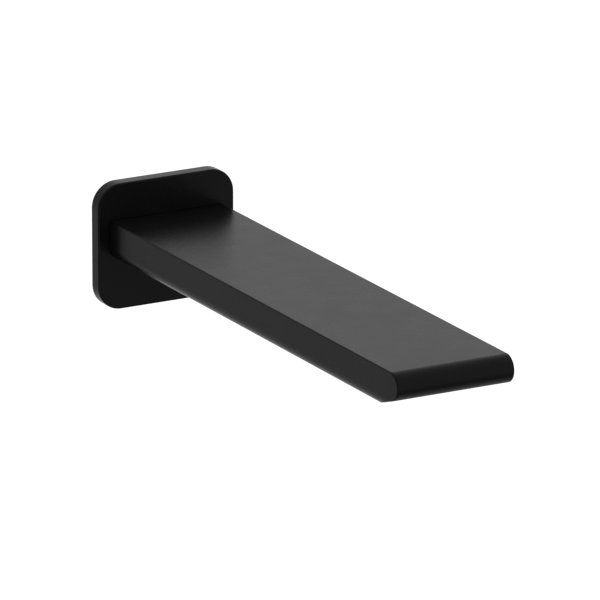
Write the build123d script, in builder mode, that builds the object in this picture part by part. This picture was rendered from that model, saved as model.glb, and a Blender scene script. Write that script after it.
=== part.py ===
"""Wall mounted bath spout: a flat rectangular spout on a push-fit wall connector.

Frame: the origin lies on the finished wall, on the axis of the G1/2 supply
socket. The spout runs towards -Y, +Z is up and +X is to the right for a
person who faces the wall. All sizes are in millimetres.
"""
from build123d import *
import os
from math import radians, tan

# ---------------------------------------------------------------- spout, outside
projection = 235.0            # wall to the tip of the nose
spout_width = 50.0
spout_thickness = 16.0
long_edge_radius = 5.0        # lower long edges
crisp_radius = 0.5            # upper long edges and the nose's side edges
nose_radius = 5.6             # round nose, from the top face into the ramp
ramp_angle = 18.5             # underside ramp behind the nose, from level

# ---------------------------------------------------------------- wall plate
plate_width = 60.0
plate_height = 51.2
plate_thickness = 5.5
plate_corner = 10.0
plate_edge_radius = 0.6
plate_drop = 3.0              # plate centre below the spout's centre
plate_rim = 2.0               # wall of the plate's sides
plate_recess = 3.0            # depth of the hollow in the plate's back
plate_gap = 0.2               # between the plate's opening and the spout
gasket_width = 2.0
seal_width = 1.2              # along the spout
seal_reach = 1.1              # from the spout's surface into the plate
seal_setback = 0.4            # from the plate's back face to the seal groove
seal_play = 0.05

# ---------------------------------------------------------------- wall connector
thread_radius = 20.955 / 2    # G1/2 male
thread_root_radius = 18.631 / 2
thread_pitch = 25.4 / 14
thread_length = 15.0
groove_share = 0.42           # half a groove's mouth as a share of the pitch
washer_thickness = 0.8
collar_radius = 12.0
collar_thickness = 1.8
spigot_radius = 5.0
spigot_end = 33.0             # distance of the spigot's end from the wall
spigot_chamfer = 0.6
connector_bore_radius = 3.0
hex_key = 6.0                 # across flats
hex_depth = 5.0
o_ring_groove_radius = 3.8
o_ring_groove_width = 1.9
o_ring_stations = {"rear": 20.0, "front": 26.0}
o_ring_play = 0.03

# ---------------------------------------------------------------- spout, inside
shell_wall = 2.0
shell_back = 3.2              # distance of the shell's open end from the wall
cavity_corner = 0.3
inlet_back = 4.5
inlet_length = 40.0
socket_radius = 5.05
socket_end = 34.0
tube_radius = 4.0
tube_bore_radius = 3.25
tube_height = 1.0             # tube axis above the spout's centre
tube_socket_depth = 5.0
tube_seal_inset = 1.2         # from the block's face to the seal
tube_seal_width = 1.6
tube_seal_thickness = 0.7
outlet_setback = 34.0         # outlet axis behind the tip of the nose
outlet_block_half = 17.0
feed_width = 10.0
feed_low = 1.2
feed_high = 4.6

# ---------------------------------------------------------------- set screw
screw_station = 11.0          # distance from the wall
screw_radius = 2.0
screw_play = 0.05
screw_recess = 0.1            # below flush with the underside
screw_tip_gap = 0.02
screw_key = 2.0
screw_key_depth = 1.5

# ---------------------------------------------------------------- outlet cartridge
outlet_radius = 12.0          # M24 x 1 socket
seat_height = 0.4             # seat that the washer presses on
chamber_radius = 9.5
chamber_top = 4.8
outlet_washer_inner = 8.8
outlet_washer_outer = 11.8
outlet_washer_thickness = 1.2
housing_radius = 11.9
housing_inner_radius = 10.0
housing_lip_radius = 9.2
housing_lip_height = 0.8
housing_gap = 0.02            # under the washer
ridge_pitch = 1.0
ridge_depth = 0.45
ridge_count = 5
first_groove_height = 1.6     # above the housing's lower face
key_notches = 8
key_notch_width = 2.4
key_notch_depth = 1.4
key_notch_reach = 1.3
sleeve_inner_radius = 8.9
sleeve_ledge_radius = 8.3
sleeve_ledge_height = 0.8
comb_height = 2.4
comb_cell = 2.2               # across flats
comb_pitch = 2.6
comb_solid_rim = 0.6
comb_count = 9                # cells each way in the grid that the rim trims
screen_thickness = 0.4
screen_hole = 0.9
screen_pitch = 1.4
diffuser_thickness = 1.2
diffuser_rim_height = 1.0
diffuser_rim_radius = 8.2
diffuser_hole_radius = 0.7
diffuser_rings = {6.5: 18, 4.4: 12, 2.3: 6}

# ---------------------------------------------------------------- derived values
spout_top = spout_thickness / 2
spout_bottom = -spout_thickness / 2
tip_y = -projection
inlet_front = inlet_back + inlet_length
outlet_y = tip_y + outlet_setback
outlet_block_back = -(outlet_y + outlet_block_half)
outlet_block_front = -(outlet_y - outlet_block_half)
washer_low = seat_height - outlet_washer_thickness
housing_top = washer_low - housing_gap
comb_low = spout_bottom + housing_lip_height
comb_high = comb_low + comb_height
screen_low_top = comb_high + screen_thickness
diffuser_low = screen_low_top + sleeve_ledge_height
diffuser_high = diffuser_low + diffuser_thickness
screen_high_low = diffuser_high + diffuser_rim_height

# The room-facing wall plane: sketch X is X, sketch Y is Z, extrusions run to -Y.
wall_face = Plane(origin=(0, 0, 0), x_dir=(1, 0, 0), z_dir=(0, -1, 0))
# The outlet's level plane: extrusions run upwards from the spout's centre height.
outlet_level = Plane(origin=(0, outlet_y, 0), x_dir=(1, 0, 0), z_dir=(0, 0, 1))


def save(piece, name):
    """Label a finished piece and write it as its own STEP file."""
    piece.label = name
    export_step(piece, f"parts/{name}.step")


def spout_outline(inset, upper_radius):
    """The spout's rectangular section set in evenly, with round lower corners."""
    with BuildSketch(Plane.XY) as outline:
        Rectangle(spout_width - 2 * inset, spout_thickness - 2 * inset)
        fillet(outline.vertices().group_by(Axis.Y)[0], long_edge_radius - inset)
        if upper_radius > 0:
            fillet(outline.vertices().group_by(Axis.Y)[-1], upper_radius)
    return outline.sketch


def plate_outline(inset):
    """The wall plate's rounded outline set in evenly, about the plate's centre."""
    with BuildSketch(Plane.XY) as outline:
        with Locations((0, -plate_drop)):
            RectangleRounded(
                plate_width - 2 * inset,
                plate_height - 2 * inset,
                plate_corner - inset,
            )
    return outline.sketch


def ring(plane, low, high, outer, inner):
    """A plain ring between two offsets along a plane's normal."""
    with BuildPart() as piece:
        with BuildSketch(plane.offset(low)):
            Circle(outer)
            Circle(inner, mode=Mode.SUBTRACT)
        extrude(amount=high - low)
    return piece.part


def screen(low):
    """A woven screen as a thin disc with a grid of square openings."""
    reach = sleeve_inner_radius - 2 * screen_hole
    count = int(2 * sleeve_inner_radius / screen_pitch)
    with BuildPart() as piece:
        with BuildSketch(outlet_level.offset(low)):
            Circle(sleeve_inner_radius)
            with GridLocations(screen_pitch, screen_pitch, count, count) as grid:
                near = [p for p in grid.local_locations if p.position.length < reach]
            with Locations(*near):
                Rectangle(screen_hole, screen_hole, mode=Mode.SUBTRACT)
        extrude(amount=screen_thickness)
    return piece.part


os.makedirs("parts", exist_ok=True)

# ================================================================ wall connector
thread_depth = thread_radius - thread_root_radius
groove_half = groove_share * thread_pitch

with BuildPart() as connector_nipple:
    # threaded stem, inside the wall
    with BuildSketch(wall_face):
        Circle(thread_radius)
    extrude(amount=-thread_length)
    chamfer(connector_nipple.edges().group_by(Axis.Y)[-1], thread_depth)
    with BuildSketch(Plane.YZ):
        for turn in range(int(thread_length / thread_pitch)):
            with Locations(((turn + 0.5) * thread_pitch, thread_radius)):
                Polygon(
                    (-groove_half, thread_depth),
                    (-groove_half, 0),
                    (0, -thread_depth),
                    (groove_half, 0),
                    (groove_half, thread_depth),
                    align=None,
                )
    revolve(axis=Axis.Y, mode=Mode.SUBTRACT)
    # neck through the washer, then the collar that clamps it
    with BuildSketch(wall_face):
        Circle(thread_root_radius)
    extrude(amount=washer_thickness)
    with BuildSketch(wall_face.offset(washer_thickness)):
        Circle(collar_radius)
    extrude(amount=collar_thickness)
    # plain spigot that the spout pushes onto
    with BuildSketch(wall_face):
        Circle(spigot_radius)
    extrude(amount=spigot_end)
    chamfer(connector_nipple.edges().group_by(Axis.Y)[0], spigot_chamfer)
    for station in o_ring_stations.values():
        with BuildSketch(wall_face.offset(station - o_ring_groove_width / 2)):
            Circle(spigot_radius)
            Circle(o_ring_groove_radius, mode=Mode.SUBTRACT)
        extrude(amount=o_ring_groove_width, mode=Mode.SUBTRACT)
    # waterway, with a hexagon for the key at its front
    with BuildSketch(wall_face.offset(-thread_length)):
        Circle(connector_bore_radius)
    extrude(amount=thread_length + spigot_end, mode=Mode.SUBTRACT)
    with BuildSketch(wall_face.offset(spigot_end - hex_depth)):
        RegularPolygon(hex_key / 2, 6, major_radius=False)
    extrude(amount=hex_depth, mode=Mode.SUBTRACT)
save(connector_nipple.part, "connector_nipple")

connector_washer = ring(wall_face, 0, washer_thickness, collar_radius, thread_root_radius)
save(connector_washer, "connector_washer")

o_ring_section = (socket_radius - o_ring_play - o_ring_groove_radius) / 2
for place, station in o_ring_stations.items():
    with BuildPart() as spigot_o_ring:
        with BuildSketch(Plane.YZ):
            with Locations((-station, o_ring_groove_radius + o_ring_section)):
                Circle(o_ring_section)
        revolve(axis=Axis.Y)
    save(spigot_o_ring.part, f"spigot_o_ring_{place}")

# ================================================================ wall plate
with BuildPart() as wall_plate:
    with BuildSketch(wall_face):
        add(plate_outline(0))
    extrude(amount=plate_thickness)
    fillet(wall_plate.edges().group_by(Axis.Y)[0], plate_edge_radius)
    with BuildSketch(wall_face):
        add(plate_outline(plate_rim))
    extrude(amount=plate_recess, mode=Mode.SUBTRACT)
    with BuildSketch(wall_face):
        add(spout_outline(-plate_gap, crisp_radius + plate_gap))
    extrude(amount=plate_thickness, mode=Mode.SUBTRACT)
    # groove for the seal, in the wall of the opening
    with BuildSketch(wall_face.offset(plate_recess + seal_setback)):
        add(spout_outline(-seal_reach, crisp_radius + seal_reach))
    extrude(amount=seal_width, mode=Mode.SUBTRACT)
save(wall_plate.part, "wall_plate")

with BuildPart() as plate_seal:
    with BuildSketch(wall_face.offset(plate_recess + seal_setback)):
        add(spout_outline(-seal_reach, crisp_radius + seal_reach))
        add(spout_outline(-seal_play, crisp_radius + seal_play), mode=Mode.SUBTRACT)
    extrude(amount=seal_width)
save(plate_seal.part, "plate_seal")

with BuildPart() as plate_gasket:
    with BuildSketch(wall_face):
        add(plate_outline(plate_rim))
        add(plate_outline(plate_rim + gasket_width), mode=Mode.SUBTRACT)
    extrude(amount=plate_recess)
save(plate_gasket.part, "plate_gasket")

# ================================================================ spout shell
with BuildPart() as spout_shell:
    # side profile: level top, round nose, rising underside ramp, level bottom
    with BuildSketch(Plane.YZ):
        with BuildLine():
            top = Line((-shell_back, spout_top), (tip_y + nose_radius, spout_top))
            nose = JernArc(top @ 1, top % 1, nose_radius, 180 - ramp_angle)
            ramp_foot_y = (nose @ 1).X + ((nose @ 1).Y - spout_bottom) / tan(radians(ramp_angle))
            ramp = Line(nose @ 1, (ramp_foot_y, spout_bottom))
            underside = Line(ramp @ 1, (-shell_back, spout_bottom))
            Line(underside @ 1, top @ 0)
        make_face()
    extrude(amount=spout_width / 2, both=True)
    # crisp edges along the top and round the nose
    side_edges = spout_shell.faces().filter_by(Plane.YZ).edges()
    crisp_edges = side_edges.filter_by(lambda edge: edge.center().Z > spout_bottom)
    crisp_edges = crisp_edges.filter_by(lambda edge: edge.center().Y < -shell_back - crisp_radius)
    fillet(crisp_edges, crisp_radius)
    # round lower long edges
    with BuildSketch(wall_face.offset(shell_back)):
        add(spout_outline(0, 0))
    extrude(amount=projection - shell_back, mode=Mode.INTERSECT)
    # cavity, open at the back
    with BuildSketch(wall_face.offset(shell_back)):
        add(spout_outline(shell_wall, cavity_corner))
    extrude(amount=outlet_block_front - shell_back, mode=Mode.SUBTRACT)
    # outlet opening and set screw hole in the underside
    with BuildSketch(outlet_level.offset(spout_bottom)):
        Circle(outlet_radius)
    extrude(amount=spout_thickness / 2, mode=Mode.SUBTRACT)
    with BuildSketch(Plane.XY.offset(spout_bottom)):
        with Locations((0, -screw_station)):
            Circle(screw_radius + screw_play)
    extrude(amount=spout_thickness / 2, mode=Mode.SUBTRACT)
save(spout_shell.part, "spout_shell")

# ================================================================ inlet block
with BuildPart() as inlet_block:
    with BuildSketch(wall_face.offset(inlet_back)):
        add(spout_outline(shell_wall, cavity_corner))
    extrude(amount=inlet_length)
    # socket for the spigot, narrowing to the waterway
    with BuildSketch(wall_face.offset(inlet_back)):
        Circle(socket_radius)
    extrude(amount=socket_end - inlet_back, mode=Mode.SUBTRACT)
    with BuildSketch(wall_face.offset(socket_end)):
        Circle(tube_bore_radius)
    extrude(amount=inlet_front - tube_socket_depth - socket_end, mode=Mode.SUBTRACT)
    # tube socket with its seal groove
    with BuildSketch(wall_face.offset(inlet_front - tube_socket_depth)):
        with Locations((0, tube_height)):
            Circle(tube_radius)
    extrude(amount=tube_socket_depth, mode=Mode.SUBTRACT)
    with BuildSketch(wall_face.offset(inlet_front - tube_seal_inset - tube_seal_width)):
        with Locations((0, tube_height)):
            Circle(tube_radius + tube_seal_thickness)
    extrude(amount=tube_seal_width, mode=Mode.SUBTRACT)
    with BuildSketch(Plane.XY.offset(spout_bottom)):
        with Locations((0, -screw_station)):
            Circle(screw_radius + screw_play)
    extrude(amount=spout_thickness / 2, mode=Mode.SUBTRACT)
save(inlet_block.part, "inlet_block")

# ================================================================ set screw
screw_length = spout_thickness / 2 - screw_recess - spigot_radius - screw_tip_gap

with BuildPart() as set_screw:
    with BuildSketch(Plane.XY.offset(spout_bottom + screw_recess)):
        with Locations((0, -screw_station)):
            Circle(screw_radius)
    extrude(amount=screw_length)
    with BuildSketch(Plane.XY.offset(spout_bottom + screw_recess)):
        with Locations((0, -screw_station)):
            RegularPolygon(screw_key / 2, 6, major_radius=False)
    extrude(amount=screw_key_depth, mode=Mode.SUBTRACT)
save(set_screw.part, "set_screw")

# ================================================================ outlet block
with BuildPart() as outlet_block:
    with BuildSketch(wall_face.offset(outlet_block_back)):
        add(spout_outline(shell_wall, cavity_corner))
    extrude(amount=2 * outlet_block_half)
    # socket for the cartridge, with the washer's seat and a chamber above it
    with BuildSketch(outlet_level.offset(spout_bottom)):
        Circle(outlet_radius)
    extrude(amount=seat_height - spout_bottom, mode=Mode.SUBTRACT)
    with BuildSketch(outlet_level.offset(seat_height)):
        Circle(chamber_radius)
    extrude(amount=chamber_top - seat_height, mode=Mode.SUBTRACT)
    # tube socket, its seal groove, and the feed above the seat
    with BuildSketch(wall_face.offset(outlet_block_back)):
        with Locations((0, tube_height)):
            Circle(tube_radius)
    extrude(amount=tube_socket_depth, mode=Mode.SUBTRACT)
    with BuildSketch(wall_face.offset(outlet_block_back + tube_seal_inset)):
        with Locations((0, tube_height)):
            Circle(tube_radius + tube_seal_thickness)
    extrude(amount=tube_seal_width, mode=Mode.SUBTRACT)
    with BuildSketch(wall_face.offset(outlet_block_back)):
        with Locations((0, (feed_low + feed_high) / 2)):
            Rectangle(feed_width, feed_high - feed_low)
        with Locations((0, tube_height)):
            Circle(tube_radius, mode=Mode.INTERSECT)
    extrude(amount=outlet_block_half, mode=Mode.SUBTRACT)
save(outlet_block.part, "outlet_block")

# ================================================================ waterway tube
tube_back = inlet_front - tube_socket_depth
tube_front = outlet_block_back + tube_socket_depth
tube_plane = Plane(origin=(0, 0, tube_height), x_dir=(1, 0, 0), z_dir=(0, -1, 0))

waterway_tube = ring(tube_plane, tube_back, tube_front, tube_radius, tube_bore_radius)
save(waterway_tube, "waterway_tube")

tube_seal_stations = {
    "inlet": inlet_front - tube_seal_inset - tube_seal_width,
    "outlet": outlet_block_back + tube_seal_inset,
}
for place, station in tube_seal_stations.items():
    tube_seal = ring(
        tube_plane,
        station,
        station + tube_seal_width,
        tube_radius + tube_seal_thickness,
        tube_radius,
    )
    save(tube_seal, f"tube_seal_{place}")

# ================================================================ outlet cartridge
outlet_washer = ring(
    outlet_level, washer_low, seat_height, outlet_washer_outer, outlet_washer_inner
)
save(outlet_washer, "outlet_washer")

with BuildPart() as outlet_housing:
    with BuildSketch(outlet_level.offset(spout_bottom)):
        Circle(housing_radius)
        Circle(housing_inner_radius, mode=Mode.SUBTRACT)
    extrude(amount=housing_top - spout_bottom)
    with BuildSketch(outlet_level.offset(spout_bottom)):
        Circle(housing_inner_radius)
        Circle(housing_lip_radius, mode=Mode.SUBTRACT)
    extrude(amount=housing_lip_height)
    # thread grooves round the outside
    for turn in range(ridge_count):
        groove_low = spout_bottom + first_groove_height + turn * ridge_pitch
        with BuildSketch(outlet_level.offset(groove_low)):
            Circle(housing_radius)
            Circle(housing_radius - ridge_depth, mode=Mode.SUBTRACT)
        extrude(amount=ridge_pitch / 2, mode=Mode.SUBTRACT)
    # notches for the cartridge key
    with BuildSketch(outlet_level.offset(spout_bottom)):
        with PolarLocations(housing_radius - key_notch_reach / 2, key_notches):
            Rectangle(key_notch_reach, key_notch_width)
    extrude(amount=key_notch_depth, mode=Mode.SUBTRACT)
save(outlet_housing.part, "outlet_housing")

with BuildPart() as flow_straightener:
    with BuildSketch(outlet_level.offset(comb_low)):
        Circle(housing_inner_radius)
        cell_reach = housing_inner_radius - comb_solid_rim - comb_cell / 2
        with HexLocations(comb_pitch / 2, comb_count, comb_count, major_radius=False) as comb:
            cells = [p for p in comb.local_locations if p.position.length < cell_reach]
        with Locations(*cells):
            RegularPolygon(comb_cell / 2, 6, major_radius=False, mode=Mode.SUBTRACT)
    extrude(amount=comb_height)
save(flow_straightener.part, "flow_straightener")

with BuildPart() as cartridge_sleeve:
    with BuildSketch(outlet_level.offset(comb_high)):
        Circle(housing_inner_radius)
        Circle(sleeve_inner_radius, mode=Mode.SUBTRACT)
    extrude(amount=housing_top - comb_high)
    with BuildSketch(outlet_level.offset(screen_low_top)):
        Circle(sleeve_inner_radius)
        Circle(sleeve_ledge_radius, mode=Mode.SUBTRACT)
    extrude(amount=sleeve_ledge_height)
save(cartridge_sleeve.part, "cartridge_sleeve")

save(screen(comb_high), "screen_lower")
save(screen(screen_high_low), "screen_upper")

with BuildPart() as stream_diffuser:
    with BuildSketch(outlet_level.offset(diffuser_low)):
        Circle(sleeve_inner_radius)
        for ring_radius, hole_count in diffuser_rings.items():
            with PolarLocations(ring_radius, hole_count):
                Circle(diffuser_hole_radius, mode=Mode.SUBTRACT)
    extrude(amount=diffuser_thickness)
    with BuildSketch(outlet_level.offset(diffuser_high)):
        Circle(sleeve_inner_radius)
        Circle(diffuser_rim_radius, mode=Mode.SUBTRACT)
    extrude(amount=diffuser_rim_height)
save(stream_diffuser.part, "stream_diffuser")
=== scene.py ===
"""Looks of the wall mounted bath spout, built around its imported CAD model.

Everything is in metres in the model's own frame: the wall is the plane Y = 0, the spout
runs to -Y and +Z is up.
"""
import math

import bmesh
import bpy
from mathutils import Matrix, Vector


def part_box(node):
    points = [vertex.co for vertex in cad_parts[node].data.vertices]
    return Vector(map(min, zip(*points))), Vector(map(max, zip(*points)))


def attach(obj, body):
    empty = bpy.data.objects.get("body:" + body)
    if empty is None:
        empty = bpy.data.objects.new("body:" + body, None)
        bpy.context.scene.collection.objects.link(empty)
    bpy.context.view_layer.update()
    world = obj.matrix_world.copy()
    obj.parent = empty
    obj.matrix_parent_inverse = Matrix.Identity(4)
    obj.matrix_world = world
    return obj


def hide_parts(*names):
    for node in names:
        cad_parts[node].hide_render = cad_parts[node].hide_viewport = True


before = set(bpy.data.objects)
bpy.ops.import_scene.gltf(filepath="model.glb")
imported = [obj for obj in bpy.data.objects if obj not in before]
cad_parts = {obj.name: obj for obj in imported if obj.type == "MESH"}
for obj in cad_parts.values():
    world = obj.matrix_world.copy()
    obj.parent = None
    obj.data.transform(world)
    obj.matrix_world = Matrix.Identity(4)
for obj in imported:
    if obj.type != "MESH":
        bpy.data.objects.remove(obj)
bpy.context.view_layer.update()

MM = 0.001

# ---------------------------------------------------------------- camera
CAMERA_AZIMUTH = math.radians(-28.71)   # to the left of the spout's own axis
CAMERA_ELEVATION = math.radians(17.03)  # above level
CAMERA_DISTANCE = 3530.0 * MM           # from the wall connector, along the view
CAMERA_RIGHT = 54.96 * MM               # the view's centre, to the right of the connector
CAMERA_DOWN = 28.12 * MM                # and below it
SENSOR_WIDTH = 36.0                     # millimetres, as the focal length
FOCAL_LENGTH = 540.0
FAR_CLIP = 50.0                         # metres, beyond the floor


def make_camera():
    """A long lens far from the spout, as a product photographer uses."""
    sin_a, cos_a = math.sin(CAMERA_AZIMUTH), math.cos(CAMERA_AZIMUTH)
    sin_e, cos_e = math.sin(CAMERA_ELEVATION), math.cos(CAMERA_ELEVATION)
    right = Vector((cos_a, sin_a, 0))
    up = Vector((-sin_a * sin_e, cos_a * sin_e, cos_e))
    back = Vector((sin_a * cos_e, -cos_a * cos_e, sin_e))
    data = bpy.data.cameras.new("camera")
    data.lens = FOCAL_LENGTH
    data.sensor_width = SENSOR_WIDTH
    data.clip_end = FAR_CLIP
    camera = bpy.data.objects.new("camera", data)
    place = Matrix((right, up, back)).transposed().to_4x4()
    place.translation = back * CAMERA_DISTANCE + right * CAMERA_RIGHT - up * CAMERA_DOWN
    camera.matrix_world = place
    bpy.context.scene.collection.objects.link(camera)
    bpy.context.scene.camera = camera


make_camera()


# ---------------------------------------------------------------- node helpers
WAVE_SPACING = math.pi / 10   # between the rings of a wave texture at scale 1
MARK_WOBBLE = 0.8             # how unevenly the tool marks run


def new_material(name):
    """A node material, with its tree and its Principled shader."""
    material = bpy.data.materials.new(name)
    material.use_nodes = True
    tree = material.node_tree
    return material, tree, tree.nodes["Principled BSDF"]


def constants(shader, **values):
    """Sets a shader's sockets by name, with underscores for spaces."""
    for name, value in values.items():
        shader.inputs[name.replace("_", " ")].default_value = value


def surface_point(tree, stretch=(1, 1, 1)):
    """The point on the piece in metres, stretched along the axes."""
    coordinates = tree.nodes.new("ShaderNodeTexCoord")
    mapping = tree.nodes.new("ShaderNodeMapping")
    mapping.inputs["Scale"].default_value = stretch
    tree.links.new(coordinates.outputs["Object"], mapping.inputs["Vector"])
    return mapping.outputs["Vector"]


def noise(tree, grain, detail, stretch=(1, 1, 1)):
    """Cloudy noise whose blotches are about one grain across, in metres."""
    texture = tree.nodes.new("ShaderNodeTexNoise")
    texture.inputs["Scale"].default_value = 1 / grain
    texture.inputs["Detail"].default_value = detail
    tree.links.new(surface_point(tree, stretch), texture.inputs["Vector"])
    return texture.outputs["Fac"]


def cells(tree, size):
    """Closeness to the walls of irregular cells, whose size is in metres."""
    texture = tree.nodes.new("ShaderNodeTexVoronoi")
    texture.feature = "DISTANCE_TO_EDGE"
    texture.inputs["Scale"].default_value = 1 / size
    tree.links.new(surface_point(tree), texture.inputs["Vector"])
    return texture.outputs["Distance"]


def tool_marks(tree, pitch):
    """Round marks of a cutting tool about the Y axis, a pitch apart in metres."""
    texture = tree.nodes.new("ShaderNodeTexWave")
    texture.wave_type = "RINGS"
    texture.rings_direction = "Y"
    texture.inputs["Scale"].default_value = WAVE_SPACING / pitch
    texture.inputs["Distortion"].default_value = MARK_WOBBLE
    tree.links.new(surface_point(tree), texture.inputs["Vector"])
    return texture.outputs["Fac"]


def spread(tree, value, low, high, start=0.3, end=0.7):
    """Spreads a texture's value from start..end to low..high."""
    node = tree.nodes.new("ShaderNodeMapRange")
    for name, number in {"From Min": start, "From Max": end, "To Min": low, "To Max": high}.items():
        node.inputs[name].default_value = number
    tree.links.new(value, node.inputs["Value"])
    return node.outputs["Result"]


def add(tree, first, second, share):
    """The first value plus a share of the second."""
    node = tree.nodes.new("ShaderNodeMath")
    node.operation = "MULTIPLY_ADD"
    tree.links.new(second, node.inputs[0])
    node.inputs[1].default_value = share
    tree.links.new(first, node.inputs[2])
    return node.outputs["Value"]


def blend(tree, value, *stops):
    """A colour ramp over a texture's value: stops are (place, colour)."""
    ramp = tree.nodes.new("ShaderNodeValToRGB")
    elements = ramp.color_ramp.elements
    while len(elements) < len(stops):
        elements.new(1.0)
    for element, (place, colour) in zip(elements, stops):
        element.position = place
        element.color = (*colour, 1.0)
    tree.links.new(value, ramp.inputs["Fac"])
    return ramp.outputs["Color"]


def relief(tree, shader, height, depth):
    """Bumps the shader's normal by a height that spans a depth in metres."""
    node = tree.nodes.new("ShaderNodeBump")
    node.inputs["Distance"].default_value = depth
    tree.links.new(height, node.inputs["Height"])
    tree.links.new(node.outputs["Normal"], shader.inputs["Normal"])


# ---------------------------------------------------------------- floor and light
FLOOR_DROP = 4.6                     # far below, so that the underside can be looked at
FLOOR_SIZE = 6.0
FLOOR_GLOW = 0.12                    # a lit floor, as white as the backdrop
FLOOR_GLOW_COLOUR = (1.0, 1.0, 1.0, 1.0)
FLOOR_TONES = (0.3, (0.89, 0.89, 0.89)), (0.7, (0.91, 0.91, 0.91))
BACKDROP_COLOUR = (1.0, 1.0, 1.0, 1.0)
BACKDROP_STRENGTH = 1.13
STUDIO_STRENGTH = 1.0
STUDIO_TILT = (0.40, 0.0, 0.0)       # brighter to the right than to the left
STUDIO_COLOUR = (0.98, 0.98, 1.0, 1.0)
STUDIO_DIM_SIDE = (0.6, 0.0, -0.8)   # the studio falls off into shade below to the right
STUDIO_DIM_START = 0.55              # as the cosine of the angle to that side
STUDIO_DIM_END = 0.80
STUDIO_DIM_LEVEL = 0.2


def make_floor():
    """A plain pale floor."""
    mesh = bpy.data.meshes.new("studio_floor")
    half = FLOOR_SIZE / 2
    corners = [(-half, -half), (half, -half), (half, half), (-half, half)]
    mesh.from_pydata([(x, y, -FLOOR_DROP) for x, y in corners], [], [(0, 1, 2, 3)])
    floor = bpy.data.objects.new("studio_floor", mesh)
    bpy.context.scene.collection.objects.link(floor)
    material, tree, shader = new_material("studio_floor")
    constants(shader, Roughness=0.9, Specular_IOR_Level=0.0)
    constants(shader, Emission_Color=FLOOR_GLOW_COLOUR, Emission_Strength=FLOOR_GLOW)
    speckle = noise(tree, 400 * MM, detail=3.0)
    tree.links.new(blend(tree, speckle, *FLOOR_TONES), shader.inputs["Base Color"])
    mesh.materials.append(material)


def along_direction(tree, vector):
    """How far the world's direction points along a vector."""
    coordinates = tree.nodes.new("ShaderNodeTexCoord")
    product = tree.nodes.new("ShaderNodeVectorMath")
    product.operation = "DOT_PRODUCT"
    product.inputs[1].default_value = vector
    tree.links.new(coordinates.outputs["Generated"], product.inputs[0])
    return product.outputs["Value"]


def make_world():
    """A white backdrop, and a soft white studio, dimmer to the left and below to the right."""
    world = bpy.data.worlds.new("studio")
    bpy.context.scene.world = world
    world.use_nodes = True
    tree = world.node_tree
    backdrop = tree.nodes["Background"]
    backdrop.inputs["Color"].default_value = BACKDROP_COLOUR
    backdrop.inputs["Strength"].default_value = BACKDROP_STRENGTH
    tilt = along_direction(tree, STUDIO_TILT)
    shade = spread(
        tree,
        along_direction(tree, STUDIO_DIM_SIDE),
        low=1.0,
        high=STUDIO_DIM_LEVEL,
        start=STUDIO_DIM_START,
        end=STUDIO_DIM_END,
    )
    level = tree.nodes.new("ShaderNodeMath")
    level.operation = "ADD"
    level.inputs[1].default_value = STUDIO_STRENGTH
    tree.links.new(tilt, level.inputs[0])
    shaded = tree.nodes.new("ShaderNodeMath")
    shaded.operation = "MULTIPLY"
    tree.links.new(level.outputs["Value"], shaded.inputs[0])
    tree.links.new(shade, shaded.inputs[1])
    softbox = tree.nodes.new("ShaderNodeBackground")
    softbox.inputs["Color"].default_value = STUDIO_COLOUR
    tree.links.new(shaded.outputs["Value"], softbox.inputs["Strength"])
    seen = tree.nodes.new("ShaderNodeLightPath").outputs["Is Camera Ray"]
    either = tree.nodes.new("ShaderNodeMixShader")
    tree.links.new(seen, either.inputs[0])
    tree.links.new(softbox.outputs["Background"], either.inputs[1])
    tree.links.new(backdrop.outputs["Background"], either.inputs[2])
    tree.links.new(either.outputs["Shader"], tree.nodes["World Output"].inputs["Surface"])
    bpy.context.scene.view_settings.view_transform = "Standard"


make_floor()
make_world()


# ---------------------------------------------------------------- materials
# the colours of each material, as (place on its ramp, colour)
COATING_TONES = (0.3, (0.0027, 0.0027, 0.0028)), (0.7, (0.0049, 0.0049, 0.0050))
BRASS_TONES = (0.25, (0.56, 0.38, 0.15)), (0.5, (0.70, 0.49, 0.21)), (0.8, (0.79, 0.59, 0.29))
RUBBER_TONES = (0.35, (0.012, 0.012, 0.012)), (0.75, (0.045, 0.045, 0.047))
# the foam's darker stop is painted shade in the bubble hollows; the spread between the stops also gives
# a random tone
FOAM_TONES_AND_PORE_SHADE = (0.1, (0.10, 0.10, 0.105)), (0.9, (0.032, 0.032, 0.034))
FIBRE_TONES = (0.1, (0.16, 0.035, 0.018)), (0.6, (0.30, 0.075, 0.04)), (0.95, (0.48, 0.20, 0.12))
STEEL_TONES = (0.3, (0.28, 0.28, 0.29)), (0.55, (0.44, 0.44, 0.45)), (0.8, (0.60, 0.60, 0.62))
WIRE_TONES = (0.3, (0.42, 0.42, 0.43)), (0.7, (0.66, 0.66, 0.67))
HOUSING_TONES = (0.4, (0.010, 0.010, 0.011)), (0.8, (0.020, 0.020, 0.021))
COMB_TONES = (0.4, (0.10, 0.10, 0.105)), (0.8, (0.15, 0.15, 0.155))
MILKY_TONES = (0.4, (0.66, 0.66, 0.63)), (0.8, (0.78, 0.78, 0.76))

ROUGHNESS_SWING = 0.07        # of moulded plastic, either way
GLOW_DEPTH = (2 * MM, 2 * MM, 2 * MM)   # how far light wanders in plastic


def black_coating():
    """Satin black powder coat: a fine even grain over a faint, slow waviness."""
    material, tree, shader = new_material("black_coating")
    constants(shader, IOR=1.16)
    grain = noise(tree, 0.30 * MM, detail=3.0)
    orange_peel = noise(tree, 1.6 * MM, detail=1.0)
    waves = noise(tree, 11 * MM, detail=2.0)
    tree.links.new(blend(tree, grain, *COATING_TONES), shader.inputs["Base Color"])
    gloss = add(tree, waves, grain, share=0.6)
    dullness = spread(tree, gloss, low=0.265, high=0.295, start=0.6, end=1.0)
    tree.links.new(dullness, shader.inputs["Roughness"])
    relief(tree, shader, add(tree, grain, orange_peel, share=0.6), depth=0.018 * MM)
    return material


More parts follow.
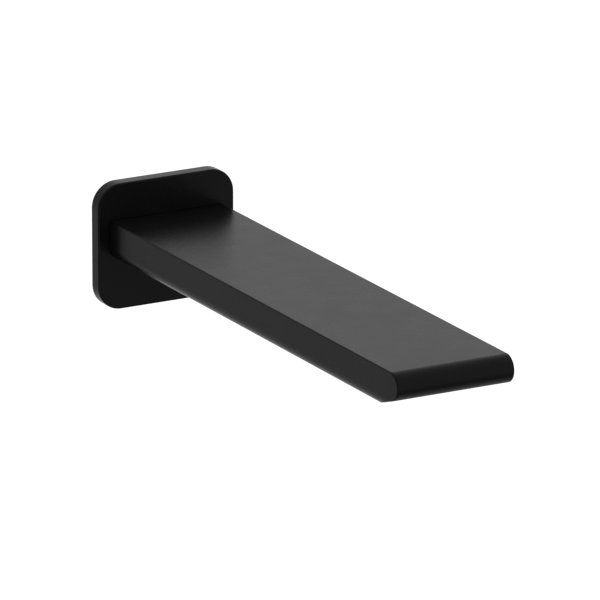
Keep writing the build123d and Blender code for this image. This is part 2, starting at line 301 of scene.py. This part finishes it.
def brass():
    """Turned brass: warm metal with round tool marks and a light, cloudy tarnish."""
    material, tree, shader = new_material("brass")
    constants(shader, Metallic=1.0)
    marks = tool_marks(tree, pitch=0.22 * MM)
    lines = noise(tree, 2.5 * MM, detail=3.0, stretch=(1, 14, 1))
    tarnish = noise(tree, 5 * MM, detail=5.0)
    tree.links.new(blend(tree, tarnish, *BRASS_TONES), shader.inputs["Base Color"])
    wear = add(tree, tarnish, lines, share=0.5)
    dullness = spread(tree, wear, low=0.22, high=0.38, start=0.5, end=1.0)
    tree.links.new(dullness, shader.inputs["Roughness"])
    relief(tree, shader, add(tree, lines, marks, share=0.35), depth=0.015 * MM)
    return material


def rubber():
    """Black moulded rubber with a dusty grey bloom."""
    material, tree, shader = new_material("rubber")
    constants(shader, IOR=1.45)
    grain = noise(tree, 0.25 * MM, detail=2.0)
    bloom = noise(tree, 4 * MM, detail=5.0)
    tree.links.new(blend(tree, bloom, *RUBBER_TONES), shader.inputs["Base Color"])
    tree.links.new(spread(tree, bloom, low=0.48, high=0.72), shader.inputs["Roughness"])
    relief(tree, shader, grain, depth=0.02 * MM)
    return material


def foam():
    """Grey closed-cell foam: small open bubbles on the cut faces, each darkened towards its middle by
    painted shade.
    """
    material, tree, shader = new_material("foam")
    bubbles = cells(tree, size=0.55 * MM)
    shade = noise(tree, 3 * MM, detail=3.0)
    # painted shade: the foam's colour darkens from the cell walls into the hollow of each bubble
    pore_painted_shade = spread(tree, bubbles, low=0.0, high=1.0, start=0.0, end=0.35)
    tone = blend(tree, add(tree, pore_painted_shade, shade, share=0.3), *FOAM_TONES_AND_PORE_SHADE)
    tree.links.new(tone, shader.inputs["Base Color"])
    constants(shader, Roughness=0.92, Specular_IOR_Level=0.25)
    relief(tree, shader, bubbles, depth=-0.15 * MM)
    return material


def fibre_washer():
    """Red-brown pressed fibre: matted strands with pale flecks."""
    material, tree, shader = new_material("fibre_washer")
    strands = noise(tree, 0.8 * MM, detail=6.0, stretch=(1, 5, 3))
    crossing = noise(tree, 0.8 * MM, detail=6.0, stretch=(4, 5, 1))
    mat = add(tree, strands, crossing, share=1.0)
    flecks = spread(tree, mat, low=0.0, high=1.0, start=0.7, end=1.3)
    tree.links.new(blend(tree, flecks, *FIBRE_TONES), shader.inputs["Base Color"])
    dullness = spread(tree, mat, low=0.55, high=0.85, start=0.7, end=1.3)
    tree.links.new(dullness, shader.inputs["Roughness"])
    relief(tree, shader, mat, depth=0.05 * MM)
    return material


def moulded_plastic(name, tones, rough, grain, translucence=0.0):
    """Injection moulded plastic: a fine spark-eroded texture and slow flow marks."""
    material, tree, shader = new_material(name)
    constants(shader, IOR=1.49, Subsurface_Weight=translucence, Subsurface_Radius=GLOW_DEPTH)
    texture = noise(tree, grain, detail=2.0)
    flow = noise(tree, 7 * MM, detail=3.0, stretch=(1, 0.4, 2))
    tone = blend(tree, add(tree, flow, texture, share=0.2), *tones)
    tree.links.new(tone, shader.inputs["Base Color"])
    gloss = add(tree, texture, flow, share=0.5)
    low, high = rough - ROUGHNESS_SWING, rough + ROUGHNESS_SWING
    dullness = spread(tree, gloss, low, high, start=0.5, end=1.0)
    tree.links.new(dullness, shader.inputs["Roughness"])
    relief(tree, shader, texture, depth=0.012 * MM)
    return material


def steel():
    """Plain stainless steel of the set screw, a little scuffed by the key."""
    material, tree, shader = new_material("steel")
    constants(shader, Metallic=1.0)
    scuffs = noise(tree, 0.4 * MM, detail=5.0)
    tree.links.new(blend(tree, scuffs, *STEEL_TONES), shader.inputs["Base Color"])
    tree.links.new(spread(tree, scuffs, low=0.24, high=0.42), shader.inputs["Roughness"])
    relief(tree, shader, scuffs, depth=0.006 * MM)
    return material


def steel_mesh():
    """Bright stainless wire with fine drawing lines."""
    material, tree, shader = new_material("steel_mesh")
    constants(shader, Metallic=1.0)
    drawn = noise(tree, 0.1 * MM, detail=2.0)
    tree.links.new(blend(tree, drawn, *WIRE_TONES), shader.inputs["Base Color"])
    tree.links.new(spread(tree, drawn, low=0.18, high=0.34), shader.inputs["Roughness"])
    relief(tree, shader, drawn, depth=0.004 * MM)
    return material


finishes = {
    "black_coating": black_coating(),
    "brass": brass(),
    "rubber": rubber(),
    "foam": foam(),
    "fibre_washer": fibre_washer(),
    "steel": steel(),
    "steel_mesh": steel_mesh(),
    "housing_plastic": moulded_plastic("housing_plastic", HOUSING_TONES, rough=0.42, grain=0.2 * MM),
    "comb_plastic": moulded_plastic("comb_plastic", COMB_TONES, rough=0.38, grain=0.15 * MM),
    "sleeve_plastic": moulded_plastic(
        "sleeve_plastic", MILKY_TONES, rough=0.35, grain=0.2 * MM, translucence=0.15
    ),
    "tube_plastic": moulded_plastic(
        "tube_plastic", MILKY_TONES, rough=0.28, grain=0.3 * MM, translucence=0.25
    ),
}
nodes_by_finish = {
    "black_coating": ["spout_shell", "wall_plate"],
    "brass": ["inlet_block", "outlet_block"],
    "rubber": [
        "spigot_o_ring_rear",
        "spigot_o_ring_front",
        "tube_seal_inlet",
        "tube_seal_outlet",
        "outlet_washer",
    ],
    "foam": ["plate_gasket"],
    "fibre_washer": ["connector_washer"],
    "housing_plastic": ["outlet_housing"],
    "comb_plastic": ["flow_straightener"],
    "sleeve_plastic": ["cartridge_sleeve", "stream_diffuser"],
    "tube_plastic": ["waterway_tube"],
}


def finish_nodes():
    """Gives every CAD node that stays in view its detailed material."""
    for finish, nodes in nodes_by_finish.items():
        for node in nodes:
            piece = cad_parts[node]
            piece.data.materials.clear()
            piece.data.materials.append(finishes[finish])


finish_nodes()


# ---------------------------------------------------------------- pieces with finer detail
SEGMENTS = 96                 # round a turned piece
CREASE = math.radians(32)     # sharper edges stay sharp
MERGE_DISTANCE = 0.001 * MM
THREAD_STEPS = 8              # rings to a turn of thread
THREAD_STEEPNESS = 1.3        # of the rounded flanks
THREAD_SINK = 0.15            # lowers the flanks, which leaves the root a flat

# the wall connector: sizes along and round its axis, the G1/2 thread's own among them
G_HALF_CREST = 20.955 / 2 * MM
G_HALF_ROOT = 18.631 / 2 * MM
G_HALF_PITCH = 25.4 / 14 * MM
COLLAR_THICKNESS = 1.8 * MM
COLLAR_BEVEL = 0.15 * MM
SPIGOT_RADIUS = 5.0 * MM
SPIGOT_BEVEL = 0.6 * MM
GROOVE_HALF_WIDTH = 0.95 * MM
GROOVE_RADIUS = 3.8 * MM
BORE_RADIUS = 2.95 * MM       # just inside the key hexagon's flats
BORE_KEY = 6.0 * MM           # across flats
BORE_KEY_DEPTH = 5.0 * MM

# the M4 set screw
M4_PITCH = 0.7 * MM
M4_DEPTH = 0.43 * MM
M4_KEY = 2.0 * MM             # across flats
M4_KEY_DEPTH = 1.5 * MM
M4_CUP_RADIUS = 1.1 * MM
M4_CUP_DEPTH = 0.4 * MM

# the plate's seal, pressed on the spout by two lips
SPOUT_LOWER_RADIUS = 5.0 * MM
SPOUT_UPPER_RADIUS = 0.5 * MM
LIP_COUNT = 2
LIP_PRESS = 0.05 * MM         # how far the lips are squeezed
LIP_DEPTH = 0.35 * MM         # from the tips of the lips to the hollow between them
LIP_STEPS = 16                # rings across the seal's width
CORNER_STEPS = 12             # points to a corner of the spout's section

# the woven screens
WIRE_RADIUS = 0.09 * MM
WIRE_PITCH = 0.9 * MM
WIRE_STEPS = 4                # points from one crossing wire to the next
WIRE_SIDES = 6
ALONG_X = Vector((1, 0, 0))
ALONG_Y = Vector((0, 1, 0))
RIM_WIDTH = 0.5 * MM
RIM_BEVEL_SHARE = 0.25        # of the screen's thickness


def new_piece(name, points, faces, finish, body, node):
    """A smooth-shaded mesh piece that rides on a body and stands for a CAD node."""
    mesh = bpy.data.meshes.new(name)
    mesh.from_pydata(points, [], faces)
    form = bmesh.new()
    form.from_mesh(mesh)
    bmesh.ops.remove_doubles(form, verts=form.verts, dist=MERGE_DISTANCE)
    bmesh.ops.recalc_face_normals(form, faces=form.faces)
    form.to_mesh(mesh)
    form.free()
    for face in mesh.polygons:
        face.use_smooth = True
    mesh.set_sharp_from_angle(angle=CREASE)
    mesh.materials.append(finishes[finish])
    piece = bpy.data.objects.new(name, mesh)
    bpy.context.scene.collection.objects.link(piece)
    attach(piece, body)
    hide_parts(node)


def skin(rows, closed_rows):
    """The faces between rows of points, each row a closed loop of the same length."""
    count = len(rows[0])
    bands = len(rows) if closed_rows else len(rows) - 1
    faces = []
    for low in range(bands):
        high = (low + 1) % len(rows)
        for i in range(count):
            j = (i + 1) % count
            faces.append((low * count + i, low * count + j, high * count + j, high * count + i))
    return faces


def hexagon(across_flats):
    """The radius of a hexagon as a function of the angle."""
    sector = math.pi / 3
    return lambda angle: across_flats / 2 / math.cos((angle + sector / 2) % sector - sector / 2)


def thread_radius(along, angle, root, crest, pitch):
    """The radius of a rounded helical thread at one point."""
    phase = (along / pitch + angle / math.tau) % 1.0
    rise = THREAD_STEEPNESS * abs(2 * phase - 1) - THREAD_SINK
    flank = min(1.0, max(0.0, rise))
    return root + (crest - root) * flank * flank * (3 - 2 * flank)


def threaded_rows(start, end, root, crest, pitch, bevels):
    """Profile rows of a thread from start to end, cut back at each end that has a bevel."""

    def ridge(along, most):
        """The thread's radius as a function of the angle, held under the bevel."""
        return lambda angle: min(most, thread_radius(along, angle, root, crest, pitch))

    count = math.ceil(abs(end - start) / pitch * THREAD_STEPS)
    rows = []
    for step in range(count + 1):
        along = start + (end - start) * step / count
        start_room = abs(along - start) if bevels[0] else crest
        end_room = abs(along - end) if bevels[1] else crest
        rows.append((along, ridge(along, root + min(start_room, end_room))))
    return rows


def turned(profile, to_world):
    """Rows of points round an axis: a profile entry is (place along the axis, radius)."""
    rows = []
    for along, radius in profile:
        row = []
        for i in range(SEGMENTS):
            angle = math.tau * i / SEGMENTS
            reach = radius(angle) if callable(radius) else radius
            row.append(to_world(along, reach * math.cos(angle), reach * math.sin(angle)))
        rows.append(row)
    return rows


def make_connector():
    """The wall connector with its real helical thread, O-ring grooves and key hexagon."""
    low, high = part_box("connector_nipple")
    washer_low, washer_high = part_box("connector_washer")
    back, front = high.y, low.y
    collar_back, collar_radius = washer_low.y, high.z
    collar_front = collar_back - COLLAR_THICKNESS
    profile = [(back, BORE_RADIUS), (back, G_HALF_ROOT)]
    profile += threaded_rows(
        back, washer_high.y, G_HALF_ROOT, G_HALF_CREST, G_HALF_PITCH, bevels=(True, False)
    )
    profile += [
        (washer_high.y, G_HALF_ROOT),
        (collar_back, G_HALF_ROOT),
        (collar_back, collar_radius - COLLAR_BEVEL),
        (collar_back - COLLAR_BEVEL, collar_radius),
        (collar_front + COLLAR_BEVEL, collar_radius),
        (collar_front, collar_radius - COLLAR_BEVEL),
        (collar_front, SPIGOT_RADIUS),
    ]
    for ring in ("spigot_o_ring_rear", "spigot_o_ring_front"):
        ring_low, ring_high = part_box(ring)
        middle = (ring_low.y + ring_high.y) / 2
        profile += [
            (middle + GROOVE_HALF_WIDTH, SPIGOT_RADIUS),
            (middle + GROOVE_HALF_WIDTH, GROOVE_RADIUS),
            (middle - GROOVE_HALF_WIDTH, GROOVE_RADIUS),
            (middle - GROOVE_HALF_WIDTH, SPIGOT_RADIUS),
        ]
    profile += [
        (front + SPIGOT_BEVEL, SPIGOT_RADIUS),
        (front, SPIGOT_RADIUS - SPIGOT_BEVEL),
        (front, hexagon(BORE_KEY)),
        (front + BORE_KEY_DEPTH, hexagon(BORE_KEY)),
        (front + BORE_KEY_DEPTH, BORE_RADIUS),
    ]
    rows = turned(profile, lambda along, across, up: (across, along, up))
    points = [point for row in rows for point in row]
    faces = skin(rows, closed_rows=True)
    new_piece("wall_connector_threaded", points, faces, "brass", "wall_connector", "connector_nipple")


def make_set_screw():
    """The set screw with its M4 thread, hexagon socket and cup point."""
    low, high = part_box("set_screw")
    centre_x, centre_y = (low.x + high.x) / 2, (low.y + high.y) / 2
    crest = (high.x - low.x) / 2
    root = crest - M4_DEPTH
    profile = [
        (low.z + M4_KEY_DEPTH, 0.0),
        (low.z + M4_KEY_DEPTH, hexagon(M4_KEY)),
        (low.z, hexagon(M4_KEY)),
        (low.z, root),
    ]
    profile += threaded_rows(low.z, high.z, root, crest, M4_PITCH, bevels=(True, True))
    profile += [
        (high.z, M4_CUP_RADIUS),
        (high.z - M4_CUP_DEPTH, 0.0),
    ]
    rows = turned(profile, lambda along, across, ahead: (centre_x + across, centre_y + ahead, along))
    points = [point for row in rows for point in row]
    faces = skin(rows, closed_rows=False)
    new_piece("set_screw_threaded", points, faces, "steel", "set_screw", "set_screw")


def round_the_spout(along, offset):
    """Points round the spout's section, set off from its surface."""
    low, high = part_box("spout_shell")
    corners = [
        (high.x, high.z, SPOUT_UPPER_RADIUS, 1, 1),
        (low.x, high.z, SPOUT_UPPER_RADIUS, -1, 1),
        (low.x, low.z, SPOUT_LOWER_RADIUS, -1, -1),
        (high.x, low.z, SPOUT_LOWER_RADIUS, 1, -1),
    ]
    row = []
    for quarter, (x, z, radius, side, rise) in enumerate(corners):
        for step in range(CORNER_STEPS + 1):
            angle = math.pi / 2 * (quarter + step / CORNER_STEPS)
            across = x - side * radius + (radius + offset) * math.cos(angle)
            up = z - rise * radius + (radius + offset) * math.sin(angle)
            row.append((across, along, up))
    return row


def make_plate_seal():
    """The plate's seal with two soft lips that press on the spout."""
    low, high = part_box("plate_seal")
    reach = high.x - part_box("spout_shell")[1].x
    rows = [round_the_spout(low.y, reach)]
    for step in range(LIP_STEPS + 1):
        share = step / LIP_STEPS
        lift = (1 + math.cos(LIP_COUNT * math.tau * share)) / 2
        along = low.y + (high.y - low.y) * share
        rows.append(round_the_spout(along, LIP_DEPTH * lift - LIP_PRESS))
    rows.append(round_the_spout(high.y, reach))
    points = [point for row in rows for point in row]
    faces = skin(rows, closed_rows=True)
    new_piece("plate_seal_lipped", points, faces, "rubber", "plate", "plate_seal")


def wire(start, end, height, rise):
    """Rows of points round one woven wire, with its rise as a function of the place along it."""
    run = end - start
    along = run.normalized()
    side = Vector((-along.y, along.x, 0))
    count = max(2, round(run.length / WIRE_PITCH * WIRE_STEPS))
    rows = []
    for step in range(count + 1):
        centre = start + run * step / count
        centre.z = height + rise(centre.dot(along))
        row = []
        for i in range(WIRE_SIDES):
            angle = math.tau * i / WIRE_SIDES
            row.append(centre + WIRE_RADIUS * (side * math.cos(angle) + Vector((0, 0, math.sin(angle)))))
        rows.append(row)
    return rows


def weave(start, swing, number, turn):
    """How high one wire lies, as a function of the place along it."""
    return lambda place: turn * swing * math.cos(math.pi * ((place - start) / WIRE_PITCH + number))


def make_screen(node):
    """A round screen of plain-woven wire in a pressed rim."""
    low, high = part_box(node)
    middle = (low + high) / 2
    radius, thickness = (high.x - low.x) / 2, high.z - low.z
    swing = thickness / 2 - WIRE_RADIUS
    reach = radius - RIM_WIDTH / 2
    count = int(reach / WIRE_PITCH)
    points, faces = [], []

    def put(rows, closed_rows):
        """Adds one skinned set of rows to the screen's mesh, with caps on open ends."""
        first = len(points)
        points.extend(point for row in rows for point in row)
        faces.extend(tuple(first + i for i in face) for face in skin(rows, closed_rows))
        if not closed_rows:
            faces.append(tuple(first + i for i in range(len(rows[0]))))
            faces.append(tuple(len(points) - len(rows[-1]) + i for i in range(len(rows[-1]))))

    for number in range(-count, count + 1):
        offset = number * WIRE_PITCH
        half = math.sqrt(reach ** 2 - offset ** 2)
        for turn, across, along in ((1, ALONG_Y, ALONG_X), (-1, ALONG_X, ALONG_Y)):
            centre = middle + across * offset
            rise = weave(middle.dot(along), swing, number, turn)
            put(wire(centre - along * half, centre + along * half, middle.z, rise), closed_rows=False)
    bevel = thickness * RIM_BEVEL_SHARE
    rim = [
        (low.z, radius - RIM_WIDTH),
        (low.z, radius - bevel),
        (low.z + bevel, radius),
        (high.z - bevel, radius),
        (high.z, radius - bevel),
        (high.z, radius - RIM_WIDTH),
    ]
    rows = turned(rim, lambda up, across, ahead: Vector((middle.x + across, middle.y + ahead, up)))
    put(rows, closed_rows=True)
    new_piece(f"{node}_woven", points, faces, "steel_mesh", "outlet_cartridge", node)


make_connector()
make_set_screw()
make_plate_seal()
for screen in ("screen_lower", "screen_upper"):
    make_screen(screen)
